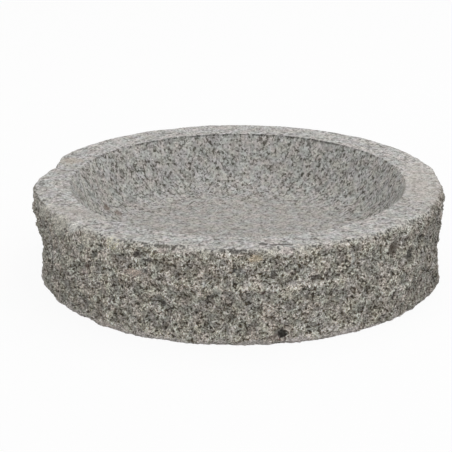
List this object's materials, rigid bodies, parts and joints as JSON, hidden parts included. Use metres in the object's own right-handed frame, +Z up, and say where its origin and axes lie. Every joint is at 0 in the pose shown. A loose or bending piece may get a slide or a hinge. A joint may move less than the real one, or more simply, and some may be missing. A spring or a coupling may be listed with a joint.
{
  "type": "stone water trough",
  "caption": "Shallow round granite water trough: a low split-faced drum with a sawn rim and underside and a bowl turned out of the top.",
  "frame": {"origin": "centre of the sawn underside, on the surface the trough stands on", "axes": "+Z up along the bowl's axis, -Y towards the viewer of the picture"},
  "size_m": [0.4014, 0.4104, 0.092],
  "materials": {
    "granite": "matte"
  },
  "bodies": {
    "root": {"granite_trough": "granite"}
  },
  "joints": []
}
